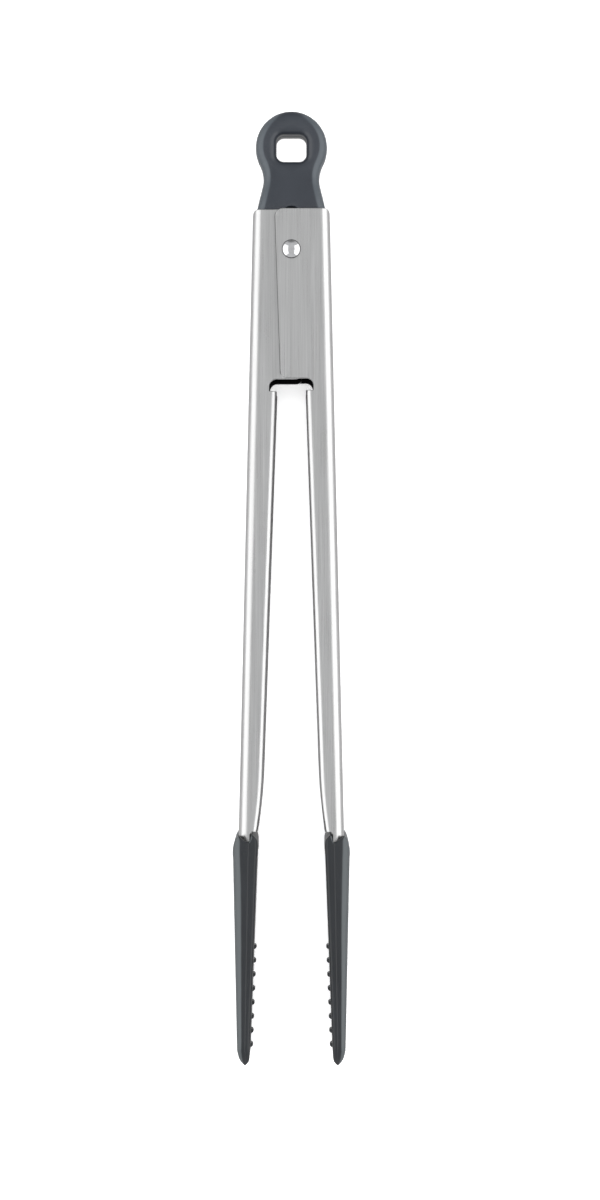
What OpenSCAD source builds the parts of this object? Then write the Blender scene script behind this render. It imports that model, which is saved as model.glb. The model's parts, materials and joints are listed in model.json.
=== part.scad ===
// Spring loaded kitchen tongs, lying on one side with the jaws open.
// +Y runs from the jaw tips to the pull tab, +X across the jaws, +Z along the pivot.
// Everything is drawn about the middle plane of the tongs and lifted by mid_z at the end.

/* [Overall] */
// Length from the jaw tips to the top of the pull tab
overall_len = 305; // [300:1:315]
// Depth of a jaw head, along the pivot
head_depth = 27; // [26:0.5:30]

/* [Arms] */
// Thickness of the stainless sheet
sheet_t = 0.8; // [0.7:0.05:0.9]
// Depth of the outer (right) arm, along the pivot
arm_depth = 24; // [23.6:0.1:24.4]
// Running gap between the nested ears of the two arms
ear_gap = 0.1; // [0.08:0.01:0.15]
// Distance from the centre line to the arm's back, at the rim
back_half_top = 12.25; // [12.1:0.05:12.5]
// Distance from the centre line to the arm's back, at its lower end
back_half_end = 16.8; // [16.4:0.1:17]
// Outer radius of the bend between the back and a flange
back_r = 3.3; // [3:0.1:3.5]
// Distance from the centre line to the rolled lip, at its upper end
lip_half_top = 4.6; // [4.3:0.1:5]
// Inward slope of the rolled lip, in degrees
lip_slope = 2; // [1.8:0.05:2.1]
// Slope of the lip's flared lower end, in degrees
lip_flare = 4.8; // [4:0.1:5]
// Step outwards where the flare begins
flare_step = 0.25; // [0.2:0.05:0.4]
// Outer radius of the rolled lip
lip_r = 2; // [1.8:0.1:2.2]
// Length of the lip's inward edge past its roll
lip_edge = 0.5; // [0.3:0.1:0.8]
// Length of the tongue that runs on into the jaw head
tongue_len = 27; // [24:1:30]
// Distance from the centre line to the tongue's edge
tongue_half = 13.2; // [13:0.1:13.4]

/* [Housing] */
// Height of the ears, from their lower edge to the rim
housing_len = 54; // [53:0.5:55]
// Reach of an ear past the centre line, at the rim
ear_reach_top = 5.3; // [5:0.1:5.6]
// Reach of an ear past the centre line, at its lower edge
ear_reach_low = 3.6; // [3.4:0.1:4]
// Half width of the arch's flat top
arch_half = 4.65; // [4.4:0.05:4.8]
// Radius of the arch's corners
arch_r = 2.3; // [2.1:0.1:2.4]
// Step between the rims of the two arms
rim_step = 0.3; // [0.2:0.1:0.4]

/* [Pivot] */
// Distance from the pivot up to the rim
pivot_drop = 13; // [12.5:0.5:13.5]
// Diameter of the rivet's shank
rivet_d = 4; // [3.8:0.1:4.2]
// Diameter of the rivet's domed heads
rivet_head_d = 6; // [5.6:0.1:6.4]
// Outside diameter of the spacer sleeve
sleeve_d = 5.6; // [5.4:0.1:5.7]
// Radial running clearance at the pivot
pivot_play = 0.05; // [0.03:0.01:0.08]

/* [Spring] */
// Wire diameter
wire_d = 1.6; // [1.4:0.1:1.7]
// Mean diameter of the coil
coil_d = 8.8; // [8.6:0.1:9.2]
// Whole turns of the coil, before the part turn between the legs
coil_turns = 5; // [4:1:5]
// Height of the coil between the centres of its end turns
coil_h = 10; // [9:0.5:10]
// Length of a leg
leg_len = 30; // [28:0.5:31]
// Splay of a leg from the centre line, in degrees
leg_splay = 13.2; // [12.8:0.1:13.4]

/* [Pull tab] */
// Height of the tab above the rim
tab_reach = 32.2; // [31.5:0.1:33]
// Outside diameter of the ring
ring_d = 22.8; // [22.4:0.1:23]
// Half width of the neck
neck_half = 8.9; // [8.6:0.1:9.2]
// Height of the neck above the rim
neck_rise = 10.3; // [9.8:0.1:10.8]
// Half width of the tab at the rim
base_half = 11; // [10.8:0.1:11.1]
// Thickness of the tab at the rim
base_t = 17.8; // [17:0.1:18]
// Thickness of the ring
ring_t = 12; // [11:0.5:13]
// Width of the hanging hole
hole_w = 9.7; // [9:0.1:10]
// Height of the hanging hole
hole_h = 8.7; // [8:0.1:9]
// Corner radius of the hanging hole
hole_r = 2.5; // [2:0.1:3]
// Travel of the tab from unlocked to locked
tab_travel = 8.5; // [8:0.1:8.6]
// Half width of the slots that the sleeve runs in
slot_half = 2.9; // [2.88:0.01:2.95]
// Height of the slots' upper end above the rim
slot_rise = 1; // [0.5:0.1:1.2]

/* [Lock] */
// Thickness of the lock plate
plate_t = 1.2; // [1:0.1:1.5]
// Distance from the centre line to the inside of a hook
hook_half = 8.95; // [8.93:0.01:8.97]
// Thickness of a hook and of a catch's lip
hook_t = 0.5; // [0.45:0.05:0.5]
// Height of a hook above the plate's crossbar
hook_h = 2; // [1.8:0.1:2.2]

/* [Jaw heads] */
// Length of a jaw head
head_len = 71.5; // [70:0.5:73]
// Distance from the centre line to the head's back, at its top
head_out_top = 18.65; // [18.4:0.05:18.9]
// Distance from the centre line to the head's back, at its tip
head_out_tip = 17.25; // [17:0.05:17.5]
// Distance from the centre line to the grip face, at its top
grip_top = 10.7; // [10.5:0.1:11]
// Distance from the centre line to the grip face, at its tip
grip_tip = 13.25; // [13:0.05:13.5]
// Thickness of the silicone over the core
skin_t = 1.5; // [1.2:0.1:1.7]
// Number of grip ribs on a head
rib_count = 8; // [6:1:8]
// Spacing of the grip ribs
rib_pitch = 4.5; // [4.3:0.1:4.6]
// Height of a grip rib above the grip face
rib_h = 0.85; // [0.7:0.05:0.85]
// Width of a grip rib
rib_w = 1.4; // [1.2:0.1:1.6]
// Length of a grip rib, along the pivot
rib_len = 5; // [4:0.5:8]

/* [Hidden] */
$fn = 48;

// Heights along the tongs, measured from the middle of the overall length
top_y = overall_len / 2;
tip_y = -overall_len / 2;
rim_y = top_y - tab_reach;
pivot_y = rim_y - pivot_drop;
arch_y = rim_y - housing_len;
arch_step = 1.5;
ear_y = arch_y - arch_r - arch_step;
head_y = tip_y + head_len;
arm_end_y = head_y + 3;
mid_z = head_depth / 2;

// Half depths of the outer and inner arm
outer_half = arm_depth / 2;
inner_half = outer_half - sheet_t - ear_gap;

// Guide lines that the arm's surfaces follow, as [x, y] from their upper to their lower end
back_line = [[back_half_top, rim_y], [back_half_end, arm_end_y]];
lip_line = [
    [lip_half_top, ear_y],
    [lip_half_top + (ear_y - arm_end_y) * tan(lip_slope), arm_end_y]
];
flare_len = 17;
flare_y = arm_end_y + flare_len;
flare_x = lip_half_top + (ear_y - flare_y) * tan(lip_slope) + flare_step;
flare_line = [[flare_x, flare_y], [flare_x + flare_len * tan(lip_flare), arm_end_y]];
// Longer than anything is wide or deep
reach = 60;
// The mouth between the lips is cut this far out, short of the back's inner face
mouth_x = 12.5;

// Jaw head guide lines
head_out_line = [[head_out_top, head_y - 1], [head_out_tip, tip_y + 5]];
grip_line = [[grip_top, head_y], [grip_tip, tip_y + 3.5]];
head_edge_r = 3;
first_rib_y = tip_y + 5.4;
rib_root = 1;

// Rises of a head's top edge above head_y: over the grip face, the tongue and the back
grip_rise = 0.8;
tongue_rise = 2.2;
back_rise = 1.9;
edge_rise = 0.4;

// Tip of a head: radius of its end, height of its sloped corners, and how far they reach in
tip_round_r = 2.2;
tip_back_y = tip_y + 2.4;
tip_corner = 5;
tip_chamfer = 1.8;
tip_chamfer_in = 1.2;

// Core of a head, inside the silicone
core_half = outer_half - 0.3;
core_top_y = head_y - 5.5;
core_low_y = tip_y + skin_t + 1;
core_back_gap = 0.6;
core_tip_rise = 4;

// Housing and tab
ear_corner_r = 2.6;
ear_low_r = 2.1;
rim_corner_r = 1.5;
neck_end_deg = 193.5;
ring_blend = 2;
ring_taper = 0.3;
base_rise = 1;
hole_drop = 0.5;
shoulder_half = 11.25;
shoulder_drop = 0.4;
shoulder_len = 8;
shoulder_slope = 1.5;
stem_half = 8.5;
stem_corner = 2;
stem_hollow_half = 6.3;
stem_low_y = pivot_y - 20.8;
web_half = 4.2;
web_h = 5;
coil_room = 1;
hollow_top_y = pivot_y + coil_d / 2 + wire_d / 2 + coil_room;
slot_play = 0.1;
slot_low_y = pivot_y - tab_travel - slot_play;
slot_top_y = rim_y + slot_rise - slot_half;

// Lock plate and catches
bar_y = arch_y + 0.9;
bar_h = 2;
shank_half = 3;
shank_top_y = stem_low_y + web_h - 1;
pin_r = 0.75;
pin_half = base_t / 2 - 0.6;
pin_x = 1.6;
lip_gap = 0.25;
catch_half = 2.5;
// The pulled-up crossbar stops this far below the open arm's lip
bar_play = 0.7;
catch_low_y = bar_y + bar_h + tab_travel + bar_play;
catch_lip_len = 5;
catch_foot_len = 7;
catch_x = hook_half + hook_t + lip_gap;

// Spring: angle turned by the coil, its straight steps, and a leg's direction
coil_sweep = 360 * coil_turns + 180 - 2 * leg_splay;
coil_steps = 16 * (coil_turns + 1);
leg_out = [sin(leg_splay), -cos(leg_splay)];

// Overshoot of a cut, and overlap of two stretches of one piece
cut = 1;
joint_lap = 0.5;

// ---------- outlines ----------

// Points of an arc about a centre, from one angle to another
function arc(centre, r, from, to, steps = 12) =
    [for (i = [0:steps]) let (a = from + (to - from) * i / steps) centre + r * [cos(a), sin(a)]];

// X of a guide line at a height
function line_x(line, y) =
    line[0].x + (line[1].x - line[0].x) * (y - line[0].y) / (line[1].y - line[0].y);

// A slab's cross-section: its outer face lies on x = 0, with both outer corners rounded
module slab_section(half, r) {
    translate([-reach, -half]) square([reach - r, 2 * half]);
    translate([-reach, r - half]) square([reach, 2 * (half - r)]);
    for (s = [-1, 1]) translate([-r, s * (half - r)]) circle(r);
}

// A long slab whose outer face follows a guide line. side 1 fills the space towards the
// centre line, side -1 the space away from it. inset moves every face inwards.
module slab(line, side, half, r, inset = 0) {
    run = line[0] - line[1];
    mid = (line[0] + line[1]) / 2;
    translate([mid.x, mid.y, 0]) rotate([0, 0, atan2(-run.x, run.y)]) rotate([90, 0, 0])
        linear_extrude(height = 2 * overall_len, center = true)
            mirror([side < 0 ? 1 : 0, 0])
                translate([-inset, 0]) slab_section(half - inset, r - inset);
}

// A plain block between two heights
module band(low_y, high_y, half = reach / 2, from_x = -reach / 2, to_x = reach / 2) {
    translate([from_x, low_y, -half]) cube([to_x - from_x, high_y - low_y, 2 * half]);
}

// ---------- arms ----------

// The U channel: back, bends and flanges
module bent_sheet(half) {
    difference() {
        slab(back_line, 1, half, back_r);
        slab(back_line, 1, half, back_r, sheet_t);
    }
}

// Outline of the ears with the arch's corner, seen along the pivot
module ear_outline(rim, arch) {
    rim_x = line_x(back_line, rim) - rim_corner_r;
    polygon(concat(
        [[arch_half + arch_r, ear_y - joint_lap], [reach / 2, ear_y - joint_lap]],
        [[reach / 2, rim - 2 * rim_corner_r]],
        [[line_x(back_line, rim) + cut / 2, rim - 2 * rim_corner_r]],
        arc([rim_x, rim - rim_corner_r], rim_corner_r, 0, 90, 6),
        arc([ear_corner_r - ear_reach_top, rim - ear_corner_r], ear_corner_r, 90, 180, 6),
        arc([ear_low_r - ear_reach_low, arch + ear_low_r], ear_low_r, 180, 270, 6),
        arc([arch_half, arch - arch_r], arch_r, 90, 0, 8)
    ));
}

// The ears' stretch of the arm, above the lips
module arm_ears(half, rim, arch) {
    intersection() {
        bent_sheet(half);
        linear_extrude(height = 2 * reach, center = true) ear_outline(rim, arch);
    }
}

// A stretch of channel whose rolled lips follow a guide line between two heights
module lipped_channel(half, line, low_y, high_y) {
    difference() {
        intersection() {
            slab(back_line, 1, half, back_r);
            slab(line, -1, half, lip_r);
            band(low_y, high_y);
        }
        intersection() {
            slab(back_line, 1, half, back_r, sheet_t);
            slab(line, -1, half, lip_r, sheet_t);
        }
        band(low_y - cut, high_y + cut, half - lip_r - lip_edge, -reach / 2, mouth_x);
    }
}

// The long channel, and the flared one below it that starts with a small step
module arm_channel(half) {
    lipped_channel(half, lip_line, flare_y, ear_y);
    lipped_channel(half, flare_line, arm_end_y, flare_y);
}

// The shallow tongue inside the jaw head
module arm_tongue(half) {
    intersection() {
        bent_sheet(half);
        band(arm_end_y - tongue_len, arm_end_y + joint_lap, reach / 2, tongue_half);
    }
}

// One arm on the +X side
module arm(half, rim, arch) {
    difference() {
        union() {
            arm_ears(half, rim, arch);
            arm_channel(half);
            arm_tongue(half);
        }
        translate([0, pivot_y, 0])
            cylinder(h = 2 * reach, r = rivet_d / 2 + pivot_play, center = true);
    }
}

module arm_right() {
    color([0.74, 0.74, 0.73]) translate([0, 0, mid_z]) arm(outer_half, rim_y, arch_y);
}

module arm_left() {
    color([0.72, 0.72, 0.71]) translate([0, 0, mid_z]) mirror([1, 0, 0])
        arm(inner_half, rim_y - rim_step, arch_y - rim_step);
}

// ---------- pivot ----------

// A domed head whose flat side lies on z = 0
module rivet_dome(d, h) {
    ball_r = (d * d / 4 + h * h) / (2 * h);
    intersection() {
        translate([0, 0, h - ball_r]) sphere(ball_r);
        cylinder(h = h + cut, r = d / 2);
    }
}

module pivot_rivet() {
    seat_z = outer_half + pivot_play;
    color([0.85, 0.85, 0.86]) translate([0, pivot_y, mid_z]) {
        cylinder(h = 2 * seat_z, r = rivet_d / 2, center = true);
        for (s = [0, 1]) mirror([0, 0, s])
            translate([0, 0, seat_z]) rivet_dome(rivet_head_d, mid_z - seat_z);
    }
}

module pivot_sleeve() {
    sleeve_h = 2 * (inner_half - sheet_t - pivot_play);
    color([0.66, 0.66, 0.68]) translate([0, pivot_y, mid_z]) difference() {
        cylinder(h = sleeve_h, r = sleeve_d / 2, center = true);
        cylinder(h = sleeve_h + cut, r = rivet_d / 2 + pivot_play, center = true);
    }
}

// ---------- spring ----------

// Centre line of the wire: up the left leg, round the coil and down the right leg.
// Each entry is [point, direction in the plane].
function coil_at(a, z) = [coil_d / 2 * [cos(a), sin(a)], z, [sin(a), -cos(a)]];
function wire_path() =
    let (
        left = coil_at(180 - leg_splay, -coil_h / 2),
        right = coil_at(leg_splay, coil_h / 2)
    )
    concat(
        [[left[0] + leg_len * [-leg_out.x, leg_out.y], left[1], left[2]]],
        [for (i = [0:coil_steps])
            coil_at(180 - leg_splay - coil_sweep * i / coil_steps, coil_h * (i / coil_steps - 0.5))],
        [[right[0] + leg_len * leg_out, right[1], right[2]]]
    );

// A round wire swept along [point, height, direction] entries
module swept_wire(path, r, sides = 8) {
    points = [
        for (p = path) for (k = [0:sides - 1])
            let (a = 360 * (k + 0.5) / sides, side = [p[2].y, -p[2].x])
                concat(p[0] + r * cos(a) * side, p[1] + r * sin(a))
    ];
    last = (len(path) - 1) * sides;
    faces = concat(
        [[for (k = [0:sides - 1]) k]],
        [for (i = [0:len(path) - 2]) for (k = [0:sides - 1])
            let (a = i * sides + k, b = i * sides + (k + 1) % sides)
                [a, a + sides, b + sides, b]],
        [[for (k = [sides - 1:-1:0]) last + k]]
    );
    polyhedron(points = points, faces = faces, convexity = 10);
}

module torsion_spring() {
    color([0.6, 0.6, 0.62]) translate([0, pivot_y, mid_z]) swept_wire(wire_path(), wire_d / 2);
}

// ---------- pull tab ----------

// Ring, neck and flared base, with the hidden shoulders and stem below the rim
module tab_outline() {
    ring_c = [0, top_y - ring_d / 2];
    neck_y = rim_y + neck_rise;
    drop = ring_c.y - neck_y;
    neck_r = (pow(neck_half, 2) + pow(drop, 2) - pow(ring_d / 2, 2)) / (ring_d - 2 * neck_half);
    meet = atan2(drop, neck_half + neck_r);
    side = concat(
        arc([neck_half + neck_r, neck_y], neck_r, 180 - meet, neck_end_deg, 10),
        [
            [base_half, rim_y], [shoulder_half, rim_y - shoulder_drop],
            [shoulder_half, rim_y - shoulder_len],
            [stem_half, rim_y - shoulder_len - shoulder_slope],
            [stem_half, stem_low_y + stem_corner], [stem_half - stem_corner, stem_low_y]
        ]
    );
    polygon(concat(
        arc(ring_c, ring_d / 2, -meet, 180 + meet, 40),
        [for (p = side) [-p.x, p.y]],
        [for (i = [len(side) - 1:-1:0]) side[i]]
    ));
}

// The tab's thickness, seen from the side: [height, half thickness]
module tab_side_profile() {
    half_t = [
        [stem_low_y, base_t / 2], [rim_y + base_rise, base_t / 2],
        [rim_y + neck_rise + ring_blend, ring_t / 2 + ring_taper], [top_y, ring_t / 2]
    ];
    polygon(concat(half_t, [for (i = [len(half_t) - 1:-1:0]) [half_t[i].x, -half_t[i].y]]));
}

module hanging_hole() {
    centre_y = top_y - ring_d / 2 - hole_drop;
    translate([0, centre_y]) {
        square([hole_w - 2 * hole_r, hole_h], center = true);
        square([hole_w, hole_h - 2 * hole_r], center = true);
        for (x = [-1, 1]) for (y = [-1, 1])
            translate([x * (hole_w / 2 - hole_r), y * (hole_h / 2 - hole_r)]) circle(hole_r);
    }
}

// Slot for the sleeve, open through the whole tab
module sleeve_slot() {
    for (y = [slot_low_y, slot_top_y]) translate([0, y]) circle(slot_half);
    translate([-slot_half, slot_low_y]) square([2 * slot_half, slot_top_y - slot_low_y]);
}

module lock_tab() {
    color([0.26, 0.275, 0.3]) translate([0, 0, mid_z]) difference() {
        intersection() {
            linear_extrude(height = base_t, center = true) tab_outline();
            rotate([90, 0, 90]) linear_extrude(height = reach, center = true)
                tab_side_profile();
        }
        linear_extrude(height = reach, center = true) {
            hanging_hole();
            sleeve_slot();
        }
        // room for the spring between the two stem walls, leaving the cross web
        difference() {
            band(stem_low_y - cut, hollow_top_y, stem_hollow_half);
            band(stem_low_y - 2 * cut, stem_low_y + web_h, reach, -web_half, web_half);
        }
        // seat of the lock plate and the two pin holes
        band(stem_low_y - cut, shank_top_y, plate_t / 2, -shank_half, shank_half);
        pin_pair();
    }
}

// ---------- lock ----------

module pin_pair() {
    for (s = [-1, 1]) translate([s * pin_x, (stem_low_y + shank_top_y) / 2, 0])
        cylinder(h = 2 * pin_half, r = pin_r, center = true);
}

// Two pins that hold the plate in the stem's web
module plate_pins() {
    color([0.62, 0.62, 0.64]) translate([0, 0, mid_z]) pin_pair();
}

// Anchor shaped plate: a shank, a crossbar and a hook at each end
module lock_plate() {
    hook_out = hook_half + hook_t;
    color([0.68, 0.68, 0.7]) translate([0, 0, mid_z]) difference() {
        linear_extrude(height = plate_t, center = true) {
            translate([-shank_half, bar_y + cut / 2])
                square([2 * shank_half, shank_top_y - bar_y - cut / 2]);
            translate([-hook_out, bar_y]) square([2 * hook_out, bar_h]);
            for (s = [-1, 1]) translate([s * (hook_half + hook_t / 2) - hook_t / 2, bar_y])
                square([hook_t, bar_h + hook_h]);
        }
        pin_pair();
    }
}

// Catch welded inside the back: foot, web and a lip that hangs down inside the hook's path
module catch() {
    web_y = catch_low_y + catch_lip_len;
    intersection() {
        slab(back_line, 1, outer_half, back_r, sheet_t);
        union() {
            band(catch_low_y, web_y, catch_half, catch_x, catch_x + hook_t);
            band(web_y - hook_t, web_y, catch_half, catch_x);
            difference() {
                band(web_y - hook_t, web_y + catch_foot_len, catch_half, catch_x);
                slab(back_line, 1, outer_half, back_r, sheet_t + hook_t);
            }
        }
    }
}

module lock_catch_right() {
    color([0.64, 0.64, 0.66]) translate([0, 0, mid_z]) catch();
}

module lock_catch_left() {
    color([0.64, 0.64, 0.66]) translate([0, 0, mid_z]) mirror([1, 0, 0]) catch();
}

// ---------- jaw heads ----------

// Short ribs across the middle of the grip face: a round crest, with its root in the silicone
module grip_ribs() {
    crest_x = rib_w / 2 - rib_h;
    for (i = [0:rib_count - 1]) {
        y = first_rib_y + i * rib_pitch;
        translate([line_x(grip_line, y), y, 0]) linear_extrude(height = rib_len, center = true) {
            translate([crest_x, 0]) circle(rib_w / 2);
            translate([crest_x, -rib_w / 2]) square([rib_root - crest_x, rib_w]);
        }
    }
}

// Outline of a head's side, seen along the pivot: grip face, tip and top edge.
// It reaches past the back, which head_solid cuts.
module head_outline() {
    tip_x = line_x(grip_line, tip_y) + tip_round_r - 0.1;
    polygon(concat(
        [[grip_top + 0.2, head_y + grip_rise], grip_line[0]],
        [grip_line[1], [grip_line[1].x + 0.1, tip_y + 1.5]],
        arc([tip_x, tip_y + tip_round_r], tip_round_r, 250, 290, 4),
        // up the back, past where it is cut
        [[head_out_tip - 0.5, tip_back_y], [head_out_tip + cut, tip_y + 9]],
        [[head_out_top + cut, head_y - 4], [head_out_top - 0.5, head_y + edge_rise]],
        // along the top edge to the grip face, with a dip on each side of the tongue's edge
        [[back_half_end + 0.3, head_y + back_rise], [back_half_end - 0.3, head_y + back_rise]],
        [[tongue_half + 1, head_y], [tongue_half, head_y - 0.3]],
        [[tongue_half - 0.8, head_y + tongue_rise]]
    ));
}

// Outline of the core, inside the silicone
module core_outline() {
    polygon([
        [line_x(grip_line, core_top_y) + skin_t, core_top_y],
        [line_x(grip_line, core_low_y) + skin_t, core_low_y],
        [line_x(head_out_line, core_low_y) - skin_t - core_back_gap, core_low_y],
        [head_out_top, core_low_y + core_tip_rise], [head_out_top, core_top_y]
    ]);
}

// A head's side outline given its depth, with round back edges and sloped tip corners.
// half is its half depth, inset how far it lies inside the head's back and tip.
module head_solid(half, inset) {
    low = tip_y + inset - cut;
    tip_half = half - tip_corner;
    mid_y = low + tip_chamfer;
    high_y = low + 2 * tip_corner;
    wide = half + inset + tip_corner;
    intersection() {
        linear_extrude(height = 2 * reach, center = true) children();
        slab(head_out_line, 1, half + inset, head_edge_r, inset);
        rotate([90, 0, 90]) linear_extrude(height = 2 * reach, center = true) polygon([
            [low, -tip_half], [mid_y, -tip_half - tip_chamfer_in], [high_y, -wide], [0, -wide],
            [0, wide], [high_y, wide], [mid_y, tip_half + tip_chamfer_in], [low, tip_half]
        ]);
    }
}

module core_solid() {
    head_solid(core_half, skin_t) core_outline();
}

module head_core(half) {
    difference() {
        core_solid();
        arm_tongue(half);
    }
}

module head_cover(half) {
    difference() {
        union() {
            head_solid(head_depth / 2, 0) head_outline();
            grip_ribs();
        }
        core_solid();
        arm_tongue(half);
    }
}

module head_core_right() {
    color([0.1, 0.1, 0.11]) translate([0, 0, mid_z]) head_core(outer_half);
}

module head_core_left() {
    color([0.1, 0.1, 0.11]) translate([0, 0, mid_z]) mirror([1, 0, 0]) head_core(inner_half);
}

module head_cover_right() {
    color([0.27, 0.29, 0.31]) translate([0, 0, mid_z]) head_cover(outer_half);
}

module head_cover_left() {
    color([0.27, 0.29, 0.31]) translate([0, 0, mid_z]) mirror([1, 0, 0]) head_cover(inner_half);
}

arm_left();
arm_right();
pivot_rivet();
pivot_sleeve();
torsion_spring();
lock_tab();
lock_plate();
plate_pins();
lock_catch_left();
lock_catch_right();
head_core_left();
head_core_right();
head_cover_left();
head_cover_right();
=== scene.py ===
import json
import math

import bmesh
import bpy
import numpy as np
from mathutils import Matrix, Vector
from mathutils.geometry import delaunay_2d_cdt


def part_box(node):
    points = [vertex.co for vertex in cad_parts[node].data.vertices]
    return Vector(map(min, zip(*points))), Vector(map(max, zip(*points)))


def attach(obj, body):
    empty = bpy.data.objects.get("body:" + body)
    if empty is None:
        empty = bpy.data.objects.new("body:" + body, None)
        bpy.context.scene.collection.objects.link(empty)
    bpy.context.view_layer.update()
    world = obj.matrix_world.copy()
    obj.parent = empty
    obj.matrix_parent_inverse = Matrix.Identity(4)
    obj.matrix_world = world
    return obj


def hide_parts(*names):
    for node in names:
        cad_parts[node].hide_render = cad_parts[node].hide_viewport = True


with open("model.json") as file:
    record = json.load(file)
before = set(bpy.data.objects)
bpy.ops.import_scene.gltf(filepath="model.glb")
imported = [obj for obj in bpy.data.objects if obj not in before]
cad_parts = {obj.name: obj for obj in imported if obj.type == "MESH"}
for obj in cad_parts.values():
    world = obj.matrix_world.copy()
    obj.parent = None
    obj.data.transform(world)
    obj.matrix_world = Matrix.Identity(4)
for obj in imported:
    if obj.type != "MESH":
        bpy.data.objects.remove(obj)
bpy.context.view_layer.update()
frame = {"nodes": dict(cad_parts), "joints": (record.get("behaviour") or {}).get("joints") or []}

# Shapes are worked out in millimetres about the tongs' middle plane, on the +X side,
# and turned into metres in the row frame when the mesh is made.
MM = 0.001


def box_mm(node):
    low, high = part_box(node)
    return low / MM, high / MM


# ---------- sizes read from the frame ----------

right_low, right_high = box_mm("arm_right")
left_high = box_mm("arm_left")[1]
tab_low, tab_high = box_mm("lock_tab")
head_low, head_high = box_mm("head_cover_right")
rivet_high = box_mm("pivot_rivet")[1]

PIVOT = Vector(frame["joints"][0]["pos_m"]) / MM
MID_Z = PIVOT.z
OUTER_HALF = right_high.z - MID_Z
INNER_HALF = left_high.z - MID_Z
RIM = right_high.y
LEFT_RIM = left_high.y
TONGUE_END = right_low.y
TAB_TOP = tab_high.y
STEM_LOW = tab_low.y
HEAD_TIP = head_low.y
HEAD_HALF = (head_high.z - head_low.z) / 2
HEAD_BACK = head_high.x

# ---------- the arms' shape ----------

SHEET = 0.8
# Distance of the back from the middle plane at the rim, and where the channel ends
BACK_TOP = 12.25
BACK_END = 16.8
BACK_R = 3.3
TONGUE_LEN = 27
TONGUE_EDGE = 13.15
TONGUE_STEP = 0.8
ARM_END = TONGUE_END + TONGUE_LEN
# The lips roll inwards, and lean out by LIP_ANGLE degrees, then flare towards the heads
LIP_R = 2.0
LIP_EDGE = 0.5
LIP_TOP = 4.6
LIP_ANGLE = 2
LIP_SLOPE = math.tan(math.radians(LIP_ANGLE))
FLARE_START = -58
FLARE_GAIN = 0.0028
# The ear laps over the middle plane, and ends in an arch between the arms
EAR_HEIGHT = 54
EAR_TOP_X = -5.3
EAR_LOW_X = -3.6
EAR_TOP_R = 2.6
EAR_LOW_R = 2.1
ARCH_HALF = 4.65
ARCH_R = 2.3
ARCH_STEP = 1.5
RIM_R = 1.5
EYE_R = 2.05
EDGE_BREAK = 0.16
SHEET_SHARP = 35

# How finely the sheet is divided
BEND_STEPS = 12
ROUND_STEPS = 10
EAR_LOW_STEPS = 8
LONG_STEP = 3
ACROSS_STEP = 2.6
FLARE_STEP = 1.4
FLANGE_STEP = 2.5
EDGE_CLEAR = 1
RIM_REACH = 4
RIM_DROPS = (4, 3, 2.2, 1.5, 1, 0.6, 0.3, 0)
EYE_POINTS = 48
EYE_RING = 0.9
EYE_CLEAR = 1.5


def back_x(y):
    return BACK_TOP + (BACK_END - BACK_TOP) * (RIM - y) / (RIM - ARM_END)


def lip_x(y):
    ear_y = RIM - EAR_HEIGHT - ARCH_R - ARCH_STEP
    flare = max(0.0, FLARE_START - y)
    return LIP_TOP + (ear_y - y) * LIP_SLOPE + FLARE_GAIN * flare * flare


def arc(x, y, r, start, end, steps):
    turns = [math.radians(start + (end - start) * k / steps) for k in range(steps + 1)]
    return [(x + r * math.cos(a), y + r * math.sin(a)) for a in turns]


def circle(r, count):
    """Points round the pivot."""
    return arc(0, PIVOT.y, r, 0, 360 - 360 / count, count - 1)


def spaced(low, high, step):
    count = max(1, round((high - low) / step))
    return [low + (high - low) * k / count for k in range(count + 1)]


# ---------- mesh helpers ----------


def add_grid(verts, faces, rows, closed=False):
    """Rows of points joined by quads."""
    base, width = len(verts), len(rows[0])
    for row in rows:
        verts.extend(row)
    for i in range(len(rows) - 1):
        for k in range(width if closed else width - 1):
            a = base + i * width + k
            b = base + i * width + (k + 1) % width
            faces.append((a, b, b + width, a + width))


def inside(points, loop):
    """Which points lie inside a closed loop."""
    p = np.asarray(points, float)
    a = np.asarray(loop, float)
    b = np.roll(a, -1, axis=0)
    px, py = p[:, 0:1], p[:, 1:2]
    spans = (a[:, 1] > py) != (b[:, 1] > py)
    rise = np.where(b[:, 1] == a[:, 1], 1e-12, b[:, 1] - a[:, 1])
    cross = px < a[:, 0] + (py - a[:, 1]) * (b[:, 0] - a[:, 0]) / rise
    return (spans & cross).sum(1) % 2 == 1


def gap_to(points, loop):
    """Distance of each point from a closed loop."""
    p = np.asarray(points, float)[:, None, :]
    a = np.asarray(loop, float)
    d = np.roll(a, -1, axis=0) - a
    t = np.clip(((p - a) * d).sum(2) / (d * d).sum(1), 0, 1)
    return np.linalg.norm(p - a - t[..., None] * d, axis=2).min(1)


def fill(outline, holes=(), extra=()):
    """Triangles over a flat outline, around its holes, through the extra points."""
    points, edges = [], []
    for loop in [outline, *holes]:
        base, size = len(points), len(loop)
        points.extend(loop)
        edges.extend((base + k, base + (k + 1) % size) for k in range(size))
    points.extend(extra)
    made = delaunay_2d_cdt([Vector(p) for p in points], edges, [], 1, 1e-6)
    flat = [tuple(v) for v in made[0]]
    faces = [tuple(f) for f in made[2]]
    middles = np.array([np.mean([flat[i] for i in f], axis=0) for f in faces])
    keep = inside(middles, outline)
    for hole in holes:
        keep &= ~inside(middles, hole)
    return flat, [f for f, wanted in zip(faces, keep) if wanted]


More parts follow.
